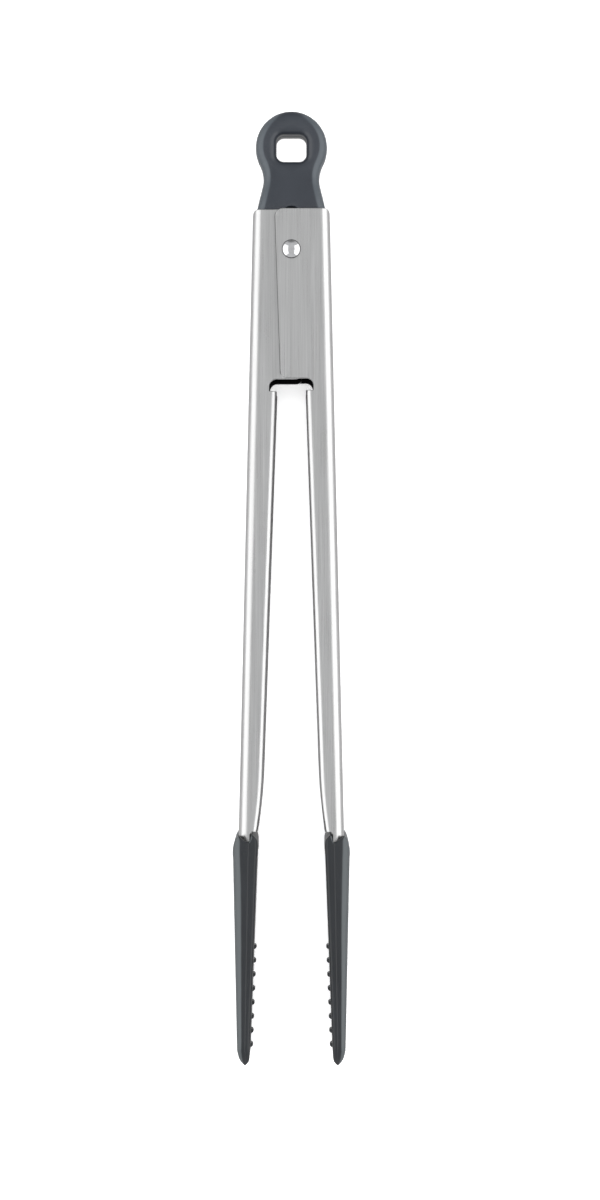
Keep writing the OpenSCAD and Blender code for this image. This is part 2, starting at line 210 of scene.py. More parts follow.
def make_object(name, verts, faces, side=1, weld=0.003):
    """A closed or open mesh from points in mm. side -1 mirrors it to the left."""
    mesh = bpy.data.meshes.new(name)
    mesh.from_pydata([(side * x * MM, y * MM, (z + MID_Z) * MM) for x, y, z in verts], [], faces)
    bm = bmesh.new()
    bm.from_mesh(mesh)
    bmesh.ops.remove_doubles(bm, verts=bm.verts, dist=weld * MM)
    bmesh.ops.dissolve_degenerate(bm, edges=bm.edges, dist=weld * MM / 10)
    loose = [v for v in bm.verts if not v.link_faces]
    bmesh.ops.delete(bm, geom=loose, context="VERTS")
    bmesh.ops.recalc_face_normals(bm, faces=bm.faces)
    bm.to_mesh(mesh)
    bm.free()
    mesh.polygons.foreach_set("use_smooth", [True] * len(mesh.polygons))
    obj = bpy.data.objects.new(name, mesh)
    bpy.context.scene.collection.objects.link(obj)
    return obj


def add_modifier(obj, kind, **values):
    modifier = obj.modifiers.new(kind.title(), kind)
    for key, value in values.items():
        setattr(modifier, key, value)
    return modifier


def apply_modifiers(obj):
    graph = bpy.context.evaluated_depsgraph_get()
    mesh = bpy.data.meshes.new_from_object(obj.evaluated_get(graph))
    obj.modifiers.clear()
    obj.data = mesh


def break_edges(obj, width, sharpest):
    """Rounds edges over so many degrees, and keeps the broad faces flat in shading."""
    add_modifier(
        obj, "BEVEL", width=width * MM, segments=2, limit_method="ANGLE", material=1,
        angle_limit=math.radians(sharpest), use_clamp_overlap=False, miter_outer="MITER_ARC",
        face_strength_mode="FSTR_ALL",
    )
    add_modifier(obj, "WEIGHTED_NORMAL", mode="FACE_AREA", weight=50, use_face_influence=True)


# ---------- arms ----------


def arm_outline(rim, arch, long_ys, lip_ys):
    """The front flange: bend line, rim, ear, arch, lip line and tongue."""
    ear_y = arch - ARCH_R - ARCH_STEP
    return [
        *[(back_x(y) - BACK_R, y) for y in long_ys],
        *arc(EAR_TOP_X + EAR_TOP_R, rim - EAR_TOP_R, EAR_TOP_R, 90, 180, ROUND_STEPS),
        *arc(EAR_LOW_X + EAR_LOW_R, arch + EAR_LOW_R, EAR_LOW_R, 180, 270, EAR_LOW_STEPS),
        *arc(ARCH_HALF, arch - ARCH_R, ARCH_R, 90, 0, ROUND_STEPS),
        (ARCH_HALF + ARCH_R, ear_y),
        *[(lip_x(y) + LIP_R, y) for y in reversed(lip_ys)],
        (TONGUE_EDGE, lip_ys[0] - TONGUE_STEP),
        (TONGUE_EDGE, long_ys[0]),
    ]


def make_arm(name, side, half, rim, step):
    arch = RIM - EAR_HEIGHT - step
    ear_y = arch - ARCH_R - ARCH_STEP
    long_ys = spaced(TONGUE_END, rim - 2 * LONG_STEP, LONG_STEP) + [rim - d for d in RIM_DROPS]
    lip_ys = spaced(ARM_END, FLARE_START, FLARE_STEP)
    lip_ys += spaced(FLARE_START, ear_y, ACROSS_STEP)[1:]
    verts, faces = [], []

    # back and its two bends, with the corner at the rim rounded off
    rows = []
    for y in long_ys:
        back = back_x(y)
        front = arc(back - BACK_R, half - BACK_R, BACK_R, 90, 0, BEND_STEPS)
        flat = [(back, z) for z in spaced(BACK_R - half, half - BACK_R, ACROSS_STEP)[::-1]][1:-1]
        rear = [(x, -z) for x, z in reversed(front)]
        row = []
        for x, z in front + flat + rear:
            over = min(RIM_R, max(0.0, x - back + RIM_R))
            drop = RIM_R - math.sqrt(RIM_R**2 - over**2)
            near = min(1.0, max(0.0, (y - rim + RIM_REACH) / RIM_REACH))
            row.append((x, y - drop * near, z))
        rows.append(row)
    add_grid(verts, faces, rows)

    # rolled lips along both flanges
    for sign in (1, -1):
        rows = []
        for y in lip_ys:
            left = lip_x(y)
            roll = arc(left + LIP_R, half - LIP_R, LIP_R, 90, 180, ROUND_STEPS)
            roll.append((left, half - LIP_R - LIP_EDGE))
            rows.append([(x, y, sign * z) for x, z in roll])
        add_grid(verts, faces, rows)

    # flanges with the ears, cut round the rivet
    eye = circle(EYE_R, EYE_POINTS)
    outline = arm_outline(rim, arch, long_ys, lip_ys)
    grid_xs = spaced(EAR_TOP_X, back_x(ear_y), FLANGE_STEP)
    grid = [(x, y) for y in spaced(ear_y, rim, FLANGE_STEP) for x in grid_xs]
    clear = inside(grid, outline) & (gap_to(grid, outline) > EDGE_CLEAR)
    clear &= ~inside(grid, eye) & (gap_to(grid, eye) > EYE_CLEAR)
    extra = [p for p, wanted in zip(grid, clear) if wanted]
    extra += circle(EYE_R + EYE_RING, EYE_POINTS // 2)
    flat, tris = fill(outline, [eye], extra)
    for sign in (1, -1):
        base = len(verts)
        verts.extend((x, y, sign * half) for x, y in flat)
        faces.extend(tuple(base + i for i in tri) for tri in tris)

    # the sheet thickens inwards, so its front has to face out first
    obj = make_object(name, verts, faces, side)
    front = max(obj.data.polygons, key=lambda p: p.center.z * 1000 + p.area)
    if front.normal.z < 0:
        obj.data.flip_normals()
    # the rims and edge rounds take the second material, with its painted highlight and shade
    add_modifier(
        obj, "SOLIDIFY", thickness=SHEET * MM, offset=-1, use_even_offset=True,
        material_offset=2, material_offset_rim=1,
    )
    break_edges(obj, EDGE_BREAK, SHEET_SHARP)
    return obj


# ---------- rivet ----------

HEAD_R = 3.0
HEAD_SEAT = 0.05
DOME_INSET = 0.1
DOME_STEPS = 14
DOME_SIDES = 64
SHANK_R = 2.0
# The head's rounded rim, as steps out from its radius and up from its seat
HEAD_RIM = ((-0.03, 0.16), (0, 0.1), (0, 0))
# Width of the dark line where the head meets the sheet: painted shade and dark reflection
RIVET_SHADE_RING = 0.34
RIVET_SHARP = 40


def make_rivet():
    seat = OUTER_HALF + HEAD_SEAT
    rise = rivet_high.z - MID_Z - seat
    ball = (HEAD_R**2 + rise**2) / (2 * rise)
    widest = math.asin((HEAD_R - DOME_INSET) / ball)
    profile = []
    for k in range(DOME_STEPS + 1):
        a = widest * k / DOME_STEPS
        profile.append((ball * math.sin(a), seat + rise - ball + ball * math.cos(a)))
    profile += [(HEAD_R + out, seat + up) for out, up in HEAD_RIM]
    profile += [(SHANK_R, seat), (SHANK_R, 0)]
    profile += [(r, -z) for r, z in reversed(profile[:-1])]
    verts, faces, rows = [], [], []
    for r, z in profile:
        ring = []
        for k in range(DOME_SIDES):
            a = 2 * math.pi * k / DOME_SIDES
            ring.append((r * math.cos(a), PIVOT.y + r * math.sin(a), z))
        rows.append(ring)
    add_grid(verts, faces, rows, closed=True)
    obj = make_object("rivet", verts, faces)
    obj.data.set_sharp_from_angle(angle=math.radians(RIVET_SHARP))
    # painted shade: faces near the head's rim take the dark second material
    for poly in obj.data.polygons:
        from_axis = (poly.center.xy / MM - PIVOT.xy).length
        poly.material_index = int(from_axis > HEAD_R - RIVET_SHADE_RING)
    return obj


# ---------- spring ----------

WIRE_R = 0.8
COIL_R = 4.4
COIL_TURNS = 5
COIL_HEIGHT = 10
LEG_LENGTH = 30
LEG_SPLAY = 13.2
COIL_OVERLAP = 0.004
COIL_STEPS = 130
LEG_STEPS = 5
WIRE_SIDES = 20
# The leg's end is rounded: the first rings' radii, and how far they stand out
END_SHARES = (0.55, 0.85, 1.0)
END_PUSH = 0.35
WIRE_SHARP = 50


def make_spring_half(name, side):
    """Half the coil and one leg. The two halves run into each other in mid coil."""
    sweep = 360 * COIL_TURNS + 180 - 2 * LEG_SPLAY
    splay = math.radians(LEG_SPLAY)
    path = []
    for k in range(LEG_STEPS):
        along = LEG_LENGTH * (1 - k / LEG_STEPS)
        x = COIL_R * math.cos(splay) + along * math.sin(splay)
        y = COIL_R * math.sin(splay) - along * math.cos(splay)
        path.append((x, y, COIL_HEIGHT / 2))
    for k in range(COIL_STEPS + 1):
        share = (0.5 + COIL_OVERLAP) * k / COIL_STEPS
        a = splay + math.radians(sweep * share)
        path.append((COIL_R * math.cos(a), COIL_R * math.sin(a), COIL_HEIGHT * (0.5 - share)))
    verts, faces, rows = [], [], []
    for i, p in enumerate(path):
        before, after = path[max(0, i - 1)], path[min(len(path) - 1, i + 1)]
        run = (Vector(after) - Vector(before)).normalized()
        across = run.cross(Vector((0, 0, 1))).normalized()
        up = across.cross(run)
        for shrink in END_SHARES if i == 0 else (1.0,):
            ring = []
            push = (1 - shrink) * END_PUSH
            for k in range(WIRE_SIDES):
                a = 2 * math.pi * k / WIRE_SIDES
                turn = math.cos(a) * across + math.sin(a) * up
                q = Vector(p) + WIRE_R * (shrink * turn + push * run)
                ring.append((q.x, PIVOT.y + q.y, side * q.z))
            rows.append(ring)
    add_grid(verts, faces, rows, closed=True)
    faces.append(tuple(range(WIRE_SIDES)))
    faces.append(tuple(range(len(verts) - WIRE_SIDES, len(verts))))
    obj = make_object(name, verts, faces, side)
    obj.data.set_sharp_from_angle(angle=math.radians(WIRE_SHARP))
    return obj


# ---------- pull tab ----------

RING_R = 11.4
NECK_HALF = 8.9
NECK_Y = RIM + 10.3
NECK_END = 193.5
TAB_BASE = 11.0
SHOULDER = 11.25
SHOULDER_DROP = 0.4
SHOULDER_LEN = 8
SHOULDER_SLOPE = 1.5
STEM_HALF = 8.5
STEM_TOP = RIM - 12
STEM_CORNER = 2
TAB_HALF_T = (tab_high.z - tab_low.z) / 2
RING_HALF_T = 6.0
# The tab swells from its stem's thickness to the ring's over this stretch above the rim
SWELL_RISE = 1
SWELL_LEN = 13
TAB_FILLET = 3.1
HOLE_FILLET = 2.6
SLOT_FILLET = 0.35
HOLE_W, HOLE_H, HOLE_R = 9.7, 8.7, 2.5
HOLE_DROP = 0.5
SLOT_HALF = 2.9
SLOT_END_FLAT = 0.01
SLOT_LOW = PIVOT.y - 8.6
SLOT_TOP = RIM + 1 - SLOT_HALF
HOLLOW_HALF = 6.3
HOLLOW_TOP = PIVOT.y + 6.2
WEB_HALF = 4.2
WEB_TOP = STEM_LOW + 5
# The cutter for the spring's room reaches past the stem's sides and foot
CUT_REACH = 20
CUT_BELOW = 1
# The mould's parting line, as height and step outwards
PARTING_RIDGE = ((0.3, 0), (0.1, 0.07), (-0.1, 0.07), (-0.3, 0))

# How finely the tab is divided
SIDE_STEP = 2
OUTLINE_STEP = 0.7
NECK_STEPS = 22
RING_STEPS = 96
HOLE_STEPS = 10
SLOT_STEPS = 12
WIDE_FILLET_RINGS = 9
FINE_FILLET_RINGS = 4
RING_SPREAD = 0.9
FACE_REACH = 12
FACE_STEP_X, FACE_STEP_Y = 1.1, 1.0
ROW_SHIFT = 0.5
TAB_CLEAR, HOLE_CLEAR, SLOT_CLEAR = 0.3, 0.2, 0.3
LEAST_GAP = 0.03
TAB_SHARP = 38


def tab_outline():
    ring_y = TAB_TOP - RING_R
    drop = ring_y - NECK_Y
    neck_r = (NECK_HALF**2 + drop**2 - RING_R**2) / (2 * RING_R - 2 * NECK_HALF)
    meet = math.degrees(math.atan2(drop, NECK_HALF + neck_r))
    side = arc(NECK_HALF + neck_r, NECK_Y, neck_r, 180 - meet, NECK_END, NECK_STEPS)[1:]
    side += [(TAB_BASE, RIM), (SHOULDER, RIM - SHOULDER_DROP)]
    shoulder_ys = spaced(RIM - SHOULDER_LEN, RIM - SIDE_STEP, SIDE_STEP)
    side += [(SHOULDER, y) for y in reversed(shoulder_ys)]
    side += [(STEM_HALF, RIM - SHOULDER_LEN - SHOULDER_SLOPE)]
    stem_ys = spaced(STEM_LOW + STEM_CORNER, STEM_TOP, SIDE_STEP)
    side += [(STEM_HALF, y) for y in reversed(stem_ys)]
    side += [(STEM_HALF - STEM_CORNER, STEM_LOW)]
    ring = arc(0, ring_y, RING_R, -meet, 180 + meet, RING_STEPS)
    return ring + [(-x, y) for x, y in side] + side[::-1]


def rounded_rect(x, y, w, h, r, steps):
    loop = []
    for cx, cy, start in ((1, 1, 0), (-1, 1, 90), (-1, -1, 180), (1, -1, 270)):
        loop += arc(x + cx * (w / 2 - r), y + cy * (h / 2 - r), r, start, start + 90, steps)
    return loop


def offset_points(loop, distance):
    """The loop's points moved sideways, to the left of its direction of travel."""
    a = np.asarray(loop, float)
    run = np.roll(a, -1, axis=0) - np.roll(a, 1, axis=0)
    run /= np.linalg.norm(run, axis=1)[:, None]
    return a + distance * np.stack([-run[:, 1], run[:, 0]], axis=1)


def refine(loop, longest):
    """The loop with its long edges cut into short ones."""
    points = []
    for (x0, y0), (x1, y1) in zip(loop, loop[1:] + loop[:1]):
        parts = max(1, math.ceil(math.hypot(x1 - x0, y1 - y0) / longest))
        points += [(x0 + (x1 - x0) * k / parts, y0 + (y1 - y0) * k / parts) for k in range(parts)]
    return points


def tab_half_thickness(y):
    t = np.clip((np.asarray(y) - RIM - SWELL_RISE) / SWELL_LEN, 0, 1)
    return TAB_HALF_T + (RING_HALF_T - TAB_HALF_T) * t * t * (3 - 2 * t)


def fillet_drop(distance, r):
    near = np.clip(1 - distance / r, 0, 1)
    return r * (1 - np.sqrt(1 - near * near))


def make_tab():
    outline = refine(tab_outline(), OUTLINE_STEP)
    hole = rounded_rect(0, TAB_TOP - RING_R - HOLE_DROP, HOLE_W, HOLE_H, HOLE_R, HOLE_STEPS)
    slot = rounded_rect(
        0, (SLOT_LOW + SLOT_TOP) / 2, 2 * SLOT_HALF, SLOT_TOP - SLOT_LOW + 2 * SLOT_HALF,
        SLOT_HALF - SLOT_END_FLAT, SLOT_STEPS,
    )
    rims = ((outline, TAB_FILLET), (hole, HOLE_FILLET), (slot, SLOT_FILLET))

    # points along each rim's fillet, then a plain grid over the rest
    extra = []
    for loop, r in rims:
        rings = WIDE_FILLET_RINGS if r > 1 else FINE_FILLET_RINGS
        inward = 1 if loop is outline else -1
        for k in range(1, rings + 1):
            d = r * (1 - math.cos(math.pi / 2 * k / rings))
            moved = offset_points(loop, inward * d)
            extra.extend(moved[gap_to(moved, loop) > RING_SPREAD * d])
    grid = []
    for j, y in enumerate(spaced(STEM_LOW, TAB_TOP, FACE_STEP_Y)):
        grid += [(x + ROW_SHIFT * (j % 2), y) for x in spaced(-FACE_REACH, FACE_REACH, FACE_STEP_X)]
    grid = np.array(grid)
    clear = inside(grid, outline) & (gap_to(grid, outline) > TAB_FILLET + TAB_CLEAR)
    clear &= ~inside(grid, hole) & (gap_to(grid, hole) > HOLE_FILLET + HOLE_CLEAR)
    clear &= ~inside(grid, slot) & (gap_to(grid, slot) > SLOT_FILLET + SLOT_CLEAR)
    extra.extend(grid[clear])
    extra = np.array(extra)
    keep = inside(extra, outline) & ~inside(extra, hole) & ~inside(extra, slot)
    for loop, _ in rims:
        keep &= gap_to(extra, loop) > LEAST_GAP
    extra = extra[keep]
    flat, tris = fill(outline, [hole, slot], [tuple(p) for p in extra])

    points = np.array(flat)
    height = tab_half_thickness(points[:, 1])
    for loop, r in rims:
        height = height - fillet_drop(gap_to(points, loop), r)
    verts, faces = [], []
    for sign in (1, -1):
        base = len(verts)
        verts.extend((x, y, sign * z) for (x, y), z in zip(flat, height))
        faces.extend(tuple(base + i for i in tri) for tri in tris)

    # side walls, with the parting line as a fine ridge
    for loop, r in rims:
        outward = -1 if loop is outline else 1
        z_top = tab_half_thickness(np.array(loop)[:, 1]) - r
        rows = [[(x, y, z) for (x, y), z in zip(loop, z_top)]]
        for z, out in PARTING_RIDGE:
            moved = offset_points(loop, outward * out)
            rows.append([(x, y, z) for x, y in moved])
        rows.append([(x, y, -z) for (x, y), z in zip(loop, z_top)])
        add_grid(verts, faces, rows, closed=True)
    obj = make_object("pull_tab", verts, faces)

    # room for the spring between the stem's two walls
    low, high = STEM_LOW - CUT_BELOW, HOLLOW_TOP
    cut = [(-CUT_REACH, low), (-WEB_HALF, low), (-WEB_HALF, WEB_TOP), (WEB_HALF, WEB_TOP)]
    cut += [(WEB_HALF, low), (CUT_REACH, low), (CUT_REACH, high), (-CUT_REACH, high)]
    cut_verts, cut_faces = [], []
    cut_rows = [[(x, y, z) for x, y in cut] for z in (-HOLLOW_HALF, HOLLOW_HALF)]
    add_grid(cut_verts, cut_faces, cut_rows, closed=True)
    cut_faces += [tuple(range(len(cut))), tuple(range(len(cut), 2 * len(cut)))]
    cutter = make_object("cutter", cut_verts, cut_faces)
    add_modifier(obj, "BOOLEAN", operation="DIFFERENCE", object=cutter, solver="EXACT")
    apply_modifiers(obj)
    bpy.data.objects.remove(cutter)
    obj.data.polygons.foreach_set("use_smooth", [True] * len(obj.data.polygons))
    obj.data.set_sharp_from_angle(angle=math.radians(TAB_SHARP))
    return obj


# ---------- jaw heads ----------

HEAD_TOP = ARM_END - 3
HEAD_TIP_BACK = 17.25
GRIP_TOP = 10.7
GRIP_TIP = 13.25
HEAD_EDGE_R = 3.0
# The grip pad's edge: a fine step near the front, which wanders outwards down the head
PAD_LINE = 13.0
PAD_BOW = 0.7
PAD_RUN = 70
PAD_STEP = 0.3
PAD_EDGE = 1.1
PAD_CROWN = 0.12
PAD_SLOPE_AT = (0.35, 0.7, 0.93, 1)
PAD_RISE = ((0.08, 0.75), (0.22, 0.12), (0.32, 0))
# Near the tip the head narrows, and its edges shrink to these shares of its width
FULL_WIDTH = 4
PAD_SHARE, EDGE_SHARE, CORNER_SHARE = 0.35, 0.3, 0.45
LEAST_FLAT = 0.05
FIRST_RIB = HEAD_TIP + 5.4
RIB_PITCH = 4.5
RIB_COUNT = 8
RIB_H = 0.85
RIB_HALF = 0.7
RIB_ZS = (0, 0.9, 1.6, 1.95, 2.2, 2.36, 2.46, 2.5, 2.6)
RIB_END_Z = 1.8
RIB_AT = (0, 0.3, 0.57, 0.8, 0.93, 1, 1.1)
RIBS_FROM = 4
TIP_START = HEAD_TIP + 5
TIP_DEPTH = 8.6
TIP_RUN = 8
TIP_POWER = 2.2
TIP_AT = (0, 0.12, 0.35, 0.7, 1.1, 1.6, 2.2, 2.9, 3.7)
GRIP_PAST = 3.5
BACK_DROP = 1
FACE_STEPS = 7
FLAT_AT = (0.1, 0.5, 0.9)
OUTER_AT = (0.05, 0.3, 0.6)
CORNER_STEPS = 14
PLAIN_STEP = 1.6
TOP_RUN = 5
TOP_LIFT = 1.2
TOP_FADE = 4.5
TOP_FADE_POWER = 1.5
CAP_XS = (11, 18.4, 0.7)
CAP_ZS = (-13, 13, 1.3)
CAP_CLEAR = 0.3
HEAD_SHARP = 45

# Front profile of the head's top edge, as x and y from the grip to the back
TOP_EDGE = (
    (10.6, -0.2), (10.9, 0.8), (12.3, 2.2), (12.85, 1.9), (13.05, 0.1), (13.5, -0.1),
    (14.9, 0.4), (16.1, 1.4), (16.7, 2.0), (17.3, 1.6), (17.9, 0.7), (18.4, -0.9), (18.7, -2.6),
)
# Rows below the top edge, as depth under it and inset
TOP_ROWS = (
    (4.0, 0), (3.0, 0), (2.2, 0), (1.5, 0), (1.0, 0), (0.6, 0), (0.35, 0.03),
    (0.16, 0.12), (0.04, 0.28), (0.0, 0.5),
)
# Front profile of the tip below TIP_START: grip side and back, as height over the tip and x
TIP_GRIP = ((0.0, 14.55), (0.35, 14.2), (1.0, 13.7), (1.7, 13.4), (2.6, 13.27), (5.0, 13.1))
TIP_BACK = ((0.0, 15.0), (0.35, 15.4), (1.0, 15.95), (1.7, 16.35), (2.6, 16.75), (5.0, 17.25))


def between(pairs, value):
    xs = [p[0] for p in pairs]
    ys = [p[1] for p in pairs]
    return float(np.interp(value, xs, ys))


def grip_x(y):
    if y < TIP_START:
        return between(TIP_GRIP, y - HEAD_TIP)
    return GRIP_TOP + (GRIP_TIP - GRIP_TOP) * (HEAD_TOP - y) / (HEAD_TOP - HEAD_TIP - GRIP_PAST)


def head_back_x(y):
    if y < TIP_START:
        return between(TIP_BACK, y - HEAD_TIP)
    share = (HEAD_TOP - BACK_DROP - y) / (HEAD_TOP - BACK_DROP - TIP_START)
    return HEAD_BACK + (HEAD_TIP_BACK - HEAD_BACK) * min(1.0, max(0.0, share))


def head_half(y):
    """Half depth: full down to the tip, then drawn in on a curve."""
    share = min(1.0, max(0.0, (HEAD_TIP + TIP_RUN - y) / TIP_RUN))
    return HEAD_HALF - (HEAD_HALF - TIP_DEPTH) * share**TIP_POWER


def rib_height(y):
    nearest = min(abs(y - FIRST_RIB - k * RIB_PITCH) for k in range(RIB_COUNT))
    return RIB_H * math.sqrt(max(0.0, 1 - (nearest / RIB_HALF) ** 2))


def rib_end(z):
    """Share of a rib's height at a distance from the middle plane: its ends are round."""
    past = max(0.0, z - RIB_END_Z) / RIB_HALF
    return math.sqrt(max(0.0, 1 - past * past))


def head_section(y, inset=0.0):
    """Closed ring of [x, z] points, the same count at every height."""
    left, right, half = grip_x(y) + inset, head_back_x(y) - inset, head_half(y) - inset
    width = right - left
    line = PAD_LINE + PAD_BOW * ((HEAD_TOP - y) / PAD_RUN) ** 2
    pad = min(max(line, left + PAD_SHARE * width), right)
    step = PAD_STEP * min(1.0, width / FULL_WIDTH)
    edge = min(PAD_EDGE, EDGE_SHARE * width)
    corner = min(HEAD_EDGE_R, CORNER_SHARE * width)
    rib = rib_height(y)
    face_end = half - step - edge
    upper = [(left - rib * rib_end(z), z) for z in RIB_ZS]
    rib_side, steps = RIB_ZS[-1], FACE_STEPS
    upper += [(left, rib_side + (face_end - rib_side) * k / steps) for k in range(1, steps + 1)]
    upper += [(left + edge - edge * math.cos(a), face_end + edge * math.sin(a))
              for a in np.linspace(0, math.pi / 2, steps)[1:]]
    slope = max(0.0, pad - left - edge)
    upper += [(left + edge + slope * s, half - step + PAD_CROWN * step * s) for s in PAD_SLOPE_AT]
    upper += [(pad + out, half - down * step) for out, down in PAD_RISE]
    pad_out = PAD_RISE[-1][0]
    flat = max(LEAST_FLAT, right - corner - pad - pad_out)
    upper += [(pad + pad_out + flat * s, half) for s in FLAT_AT]
    upper += arc(right - corner, half - corner, corner, 90, 0, CORNER_STEPS)
    upper += [(right, (half - corner) * (1 - s)) for s in OUTER_AT]
    lower = [(x, -z) for x, z in reversed(upper)]
    return upper + [(right, 0.0)] + lower[:-1]


def make_head(name, side):
    rib_ys = []
    for k in range(RIB_COUNT):
        centre = FIRST_RIB + k * RIB_PITCH
        for s in RIB_AT:
            rib_ys += [centre - RIB_HALF * s, centre + RIB_HALF * s]
        rib_ys.append(centre + RIB_PITCH / 2)
    high = HEAD_TOP - TOP_RUN
    plain = spaced(max(rib_ys) + 1, high, PLAIN_STEP)
    tip_ys = [HEAD_TIP + d for d in TIP_AT]
    ys = sorted(set(tip_ys + [y for y in rib_ys if y > HEAD_TIP + RIBS_FROM] + plain))
    verts, faces = [], []
    rows = [[(x, y, z) for x, z in head_section(y)] for y in ys]

    # the top few rows take up the shape of the top edge
    for below, inset in TOP_ROWS:
        mix = (below / TOP_FADE) ** TOP_FADE_POWER
        row = []
        for x, z in head_section(HEAD_TOP, inset):
            edge_y = HEAD_TOP + between(TOP_EDGE, x) - below
            row.append((x, (1 - mix) * edge_y + mix * (high + TOP_LIFT), z))
        rows.append(row)
    add_grid(verts, faces, rows, closed=True)
    count = len(rows[0])
    faces.append(tuple(range(count)))

    # the top face, over the ring of the last row
    ring = [(x, z) for x, z in head_section(HEAD_TOP, TOP_ROWS[-1][1])]
    grid = np.array([(x, z) for x in spaced(*CAP_XS) for z in spaced(*CAP_ZS)])
    grid = grid[inside(grid, ring)]
    grid = grid[gap_to(grid, ring) > CAP_CLEAR]
    flat, tris = fill(ring, [], [tuple(p) for p in grid])
    base = len(verts)
    verts.extend((x, HEAD_TOP + between(TOP_EDGE, x), z) for x, z in flat)
    faces.extend(tuple(base + i for i in tri) for tri in tris)
    obj = make_object(name, verts, faces, side)
    obj.data.set_sharp_from_angle(angle=math.radians(HEAD_SHARP))
    return obj


# ---------- materials ----------

# Cells of noise per metre, along X, Y and Z
STREAKS = (4200, 35, 4200)
BROAD_STREAKS = (520, 9, 520)
INNER_STREAKS = (3000, 40, 3000)
SMUDGES = (55, 40, 55)
EDGE_WEAR = (700, 300, 700)
RIVET_WEAR = (900, 900, 900)
MOTTLING = (120, 60, 120)
PAPER_TONE = (3, 3, 3)
TURNING_RINGS = 900.0

# The part of a noise's range that carries a tone or a value
NOISE_LOW, NOISE_HIGH = 0.3, 0.7
# How far a face turns outwards where its paler tone, a painted highlight, starts and is full
TURNED_FROM, TURNED_FULL = 0.16, 0.34
# How much of the slower noise a tone takes in
BROAD_SHARE, MOTTLE_SHARE = 0.45, 0.6


def new_material(name):
    mat = bpy.data.materials.new(name)
    mat.use_nodes = True
    tree = mat.node_tree
    tree.nodes.clear()
    out = tree.nodes.new("ShaderNodeOutputMaterial")
    shader = tree.nodes.new("ShaderNodeBsdfPrincipled")
    tree.links.new(shader.outputs[0], out.inputs[0])
    return mat, tree, shader


def node(tree, kind, inputs=None, **settings):
    made = tree.nodes.new("ShaderNode" + kind)
    for key, value in settings.items():
        setattr(made, key, value)
    for key, value in (inputs or {}).items():
        if isinstance(value, bpy.types.NodeSocket):
            tree.links.new(value, made.inputs[key])
        else:
            made.inputs[key].default_value = value
    return made


def noise(tree, scale, detail=2.0, roughness=0.5):
    """Noise of so many cells per metre along each axis."""
    coord = node(tree, "TexCoord")
    mapped = node(tree, "Mapping", {"Vector": coord.outputs["Object"], "Scale": scale})
    made = node(
        tree, "TexNoise",
        {"Vector": mapped.outputs[0], "Scale": 1.0, "Detail": detail, "Roughness": roughness},
    )
    return made.outputs["Fac"]


def spread(tree, value, low, high):
    """The noise's middle range stretched to run from low to high."""
    made = node(
        tree, "MapRange",
        {"Value": value, "From Min": NOISE_LOW, "From Max": NOISE_HIGH,
         "To Min": low, "To Max": high},
    )
    return made.outputs[0]


def ramp(tree, value, low, high):
    made = node(tree, "ValToRGB", {"Fac": value})
    first, last = made.color_ramp.elements
    first.position, last.position = NOISE_LOW, NOISE_HIGH
    first.color, last.color = (*low, 1), (*high, 1)
    return made.outputs["Color"]


def blend(tree, share, first, second):
    """The first value with this share of the second mixed in."""
    return node(tree, "Mix", {0: share, 2: first, 3: second}, data_type="FLOAT").outputs[0]


def maths(tree, operation, *values):
    return node(tree, "Math", dict(enumerate(values)), operation=operation).outputs[0]


def axis_of(tree, vector, axis):
    return node(tree, "SeparateXYZ", {0: vector}).outputs[axis]


def bump(tree, shader, layers):
    """Bump from [height, distance in mm, strength] layers."""
    normal = None
    for height, distance, strength in layers:
        inputs = {"Height": height, "Distance": distance * MM, "Strength": strength}
        if normal is not None:
            inputs["Normal"] = normal
        normal = node(tree, "Bump", inputs).outputs[0]
    tree.links.new(normal, shader.inputs["Normal"])


# Painted shade inside the housing starts between these heights
HOUSING_Y = (RIM - EAR_HEIGHT - 8, RIM - EAR_HEIGHT - 2)


def brushed_steel(name, low, high, rough, anisotropy, scratch):
    """Sheet metal brushed along Y: fine streaks over slow tone changes, and faint handling marks."""
    mat, tree, shader = new_material(name)
    shader.inputs["Metallic"].default_value = 1.0
    shader.inputs["Anisotropic"].default_value = anisotropy
    tangent = node(tree, "Tangent", direction_type="RADIAL", axis="Y")
    tree.links.new(tangent.outputs[0], shader.inputs["Tangent"])
    streak = noise(tree, STREAKS, 3)
    broad = noise(tree, BROAD_STREAKS, 2)
    smudge = noise(tree, SMUDGES, 3, 0.6)
    both = blend(tree, BROAD_SHARE, streak, broad)
    tree.links.new(ramp(tree, both, low, high), shader.inputs["Base Color"])
    fine = spread(tree, streak, rough - 0.05, rough + 0.05)
    slow = spread(tree, smudge, -0.02, 0.03)
    tree.links.new(maths(tree, "ADD", fine, slow), shader.inputs["Roughness"])
    bump(tree, shader, [(streak, 0.012, scratch), (broad, 0.05, scratch)])
    return mat


def edge_painted_light(name):
    """The sheet's cut edges: painted highlight across the arm, painted shade along it, with a little
    wear.
    """
    mat, tree, shader = new_material(name)
    shader.inputs["Metallic"].default_value = 1.0
    # painted highlight and shade: the tone follows which way the face turns
    facing = axis_of(tree, node(tree, "NewGeometry").outputs["Normal"], "Y")
    across = maths(tree, "ABSOLUTE", facing)
    wear = noise(tree, EDGE_WEAR, 3)
    mixed = maths(tree, "ADD", spread(tree, wear, -0.12, 0.12), across)
    tone = ramp(tree, mixed, (0.1, 0.1, 0.1), (0.88, 0.88, 0.88))
    tree.links.new(tone, shader.inputs["Base Color"])
    tree.links.new(spread(tree, wear, 0.26, 0.38), shader.inputs["Roughness"])
    bump(tree, shader, [(wear, 0.02, 0.3)])
    return mat


